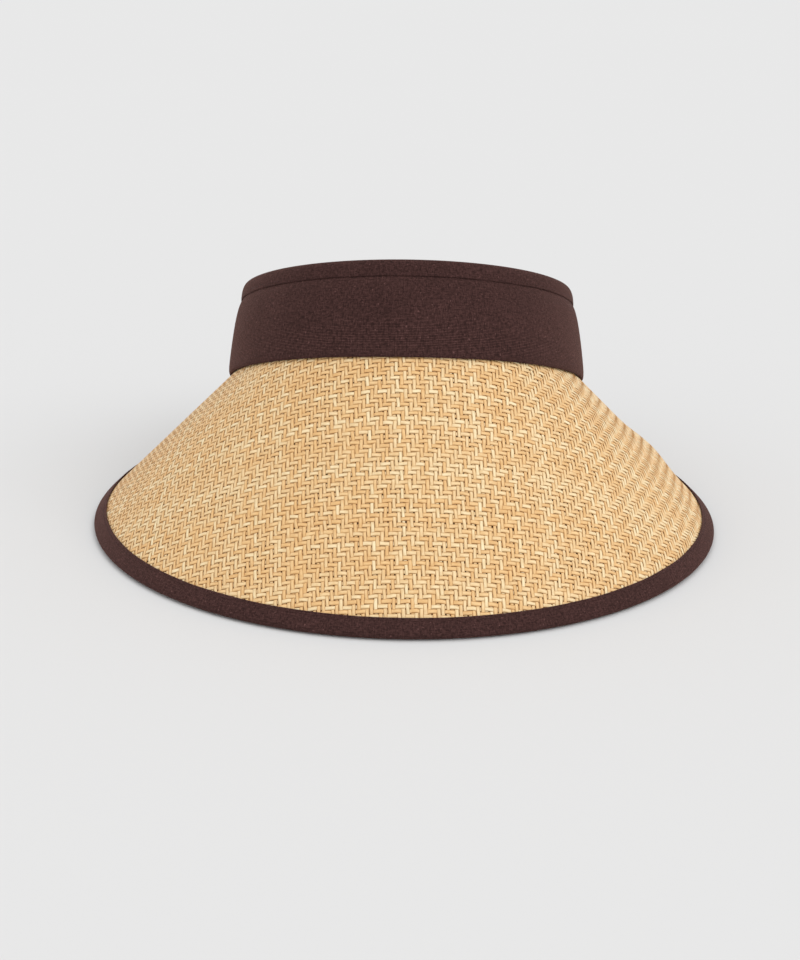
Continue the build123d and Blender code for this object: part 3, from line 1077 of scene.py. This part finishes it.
    def hook_field(self, material):
        """Rows of small moulded hooks that face the loops."""
        shape = self.shape
        low, high = (shape.arc_at(shape.param(d)) for d in (10.4, 25.1))
        bm = bmesh.new()
        pitch = 1.3 * MM
        across = int((self.tape_high - self.tape_low - 1.2 * MM) / pitch)
        for column in range(int((high - low) / pitch) + 1):
            for row in range(across + 1):
                t = shape.turn_at(low + column * pitch)
                height = self.tape_low + 0.6 * MM + row * pitch + (column % 2) * 0.3 * MM
                foot = shape.band(1.95 * MM, height, t)
                head = shape.band(1.05 * MM, height, t)
                turn = (foot - head).to_track_quat("Z", "Y").to_matrix().to_4x4()
                place = Matrix.Translation((foot + head) / 2) @ turn
                bmesh.ops.create_cone(bm, cap_ends=True, segments=5, radius1=0.22 * MM,
                                      radius2=0.14 * MM, depth=0.9 * MM, matrix=place)
        bmesh.ops.recalc_face_normals(bm, faces=bm.faces)
        return new_piece("hook_tape_hooks", bm, material)

    def bar_tacks(self, thread):
        """Two dense bars of thread where the tab leaves its seam."""
        shape = self.shape
        places = []
        for height in (10.4 * MM, 31.6 * MM):
            for k in range(11):
                t = shape.param(-11.2 + 0.34 * k)
                a, b = (shape.band(1.3 * MM, height + d, t) for d in (-0.5 * MM, 0.5 * MM))
                outward = shape.band(3 * MM, height, t) - shape.band(1 * MM, height, t)
                places.append(((a + b) / 2, (b - a).normalized(), outward.normalized()))
        piece = stitch_row("bar_tack_threads", places, thread, (1.9 * MM, 0.5 * MM, 0.34 * MM))
        self.settle(piece, "thread", "tab_bar_tacks")


class VISOR_OT_labels(VisorOperator, bpy.types.Operator):
    """Hang two blank labels inside the band"""
    bl_idname = "visor.labels"
    bl_label = "Labels"

    def build(self, context):
        satin = cotton_material("label", (0.72, 0.69, 0.62), 0.00035, 0.2)
        size = band_patch("size_label_cloth", self.shape, satin, (14.0, 24.0), (12 * MM, 24 * MM),
                          -5.35 * MM, 0.2 * MM)
        self.settle(size, "label", "size_label")
        care = band_patch("care_label_cloth", self.shape, satin, (-32.0, -22.0),
                          (-3 * MM, 26 * MM), -6.0 * MM, 0.22 * MM)
        self.settle(care, "label", "care_label")


class VISOR_OT_inner_parts(VisorOperator, bpy.types.Operator):
    """Give the wire, its caps and the band's stiffener their own finishes"""
    bl_idname = "visor.inner_parts"
    bl_label = "Inner parts"

    def build(self, context):
        finishes = {
            "brim_edge_wire": wire_material(),
            "wire_end_caps": napped_material("wire_cap", (0.78, 0.78, 0.74), 600, 0.2),
            "band_stiffener": napped_material("stiffener", (0.84, 0.84, 0.8), 500, 0.3),
        }
        for name, material in finishes.items():
            frame["nodes"][name].material_slots[0].material = material


class VISOR_OT_stage(VisorOperator, bpy.types.Operator):
    """Set the floor, the soft studio light and the camera"""
    bl_idname = "visor.stage"
    bl_label = "Stage"

    distance = 1.0
    elevation = radians(19.55)
    roll = radians(0.85)
    aim = (-2.3 * MM, 18.6 * MM)   # right of the brim's axis, and up
    lens = 78.0
    ambient = 0.90
    # name, where it shines from, its softness in degrees, its strength
    lamps = (
        ("key", (1.3, -0.9, 1.6), 45, 0.82),
        ("top", (-0.3, -0.3, 2.0), 80, 0.28),
    )

    def build(self, context):
        scene = context.scene
        self.floor()
        self.lights(scene)
        self.camera(scene)
        scene.view_settings.view_transform = "Standard"

    def floor(self):
        material, tree, shader = node_material("floor", (0.69, 0.69, 0.69), 0.9)
        grain = noise_value(tree, own_space(tree), 3.0, 2.0)
        tint = mixed(tree, "MIX", grain, (0.688, 0.688, 0.688), (0.692, 0.692, 0.692))
        link(tree, tint, shader.inputs["Base Color"])
        shader.inputs["Specular IOR Level"].default_value = 0.0
        bm = bmesh.new()
        bmesh.ops.create_grid(bm, x_segments=2, y_segments=2, size=8.0,
                              matrix=Matrix.Translation((0, 0, -0.0002)))
        piece = new_piece("studio_floor", bm, material)

    def lights(self, scene):
        world = bpy.data.worlds.new("studio")
        world.use_nodes = True
        background = world.node_tree.nodes["Background"]
        background.inputs["Color"].default_value = (1, 1, 1, 1)
        background.inputs["Strength"].default_value = self.ambient
        scene.world = world
        for name, place, spread, power in self.lamps:
            light = bpy.data.lights.new(name, "SUN")
            light.angle = radians(spread)
            light.energy = power
            lamp = bpy.data.objects.new(name, light)
            scene.collection.objects.link(lamp)
            lamp.location = place
            lamp.rotation_euler = (-lamp.location).to_track_quat("-Z", "Y").to_euler()

    def camera(self, scene):
        camera = bpy.data.objects.new("camera", bpy.data.cameras.new("camera"))
        scene.collection.objects.link(camera)
        camera.data.lens = self.lens
        camera.data.sensor_width = 36.0
        target = Vector((self.aim[0], self.shape.axis_y, self.aim[1]))
        back = Vector((0, -cos(self.elevation), sin(self.elevation)))
        camera.location = target + back * self.distance
        look = Matrix.Rotation(pi / 2 - self.elevation, 4, "X") @ Matrix.Rotation(self.roll, 4, "Z")
        camera.rotation_euler = look.to_euler()
        camera.data.clip_start = 0.05
        camera.data.clip_end = 50
        scene.camera = camera


class VISOR_PT_panel(bpy.types.Panel):
    """The visor's sizes, colours and steps"""
    bl_label = "Sun visor"
    bl_idname = "VISOR_PT_panel"
    bl_space_type = "VIEW_3D"
    bl_region_type = "UI"
    bl_category = "Visor"

    def draw(self, context):
        for group in (context.scene.visor_sizes, context.scene.visor_colours):
            column = self.layout.column()
            for name in group.__annotations__:
                column.prop(group, name)
        for step in STEPS:
            self.layout.operator(step.bl_idname)


STEPS = (VISOR_OT_straw, VISOR_OT_lining, VISOR_OT_edge_binding, VISOR_OT_band,
         VISOR_OT_top_binding, VISOR_OT_stitching, VISOR_OT_closure, VISOR_OT_labels,
         VISOR_OT_inner_parts, VISOR_OT_stage)
CLASSES = (VisorSizes, VisorColours, *STEPS, VISOR_PT_panel)


def register():
    for kind in CLASSES:
        bpy.utils.register_class(kind)
    bpy.types.Scene.visor_sizes = PointerProperty(type=VisorSizes)
    bpy.types.Scene.visor_colours = PointerProperty(type=VisorColours)


def unregister():
    del bpy.types.Scene.visor_colours
    del bpy.types.Scene.visor_sizes
    for kind in reversed(CLASSES):
        bpy.utils.unregister_class(kind)


def main():
    register()
    for step in STEPS:
        group, name = step.bl_idname.split(".")
        getattr(getattr(bpy.ops, group), name)()
    bpy.context.view_layer.update()


if __name__ == "__main__":
    main()
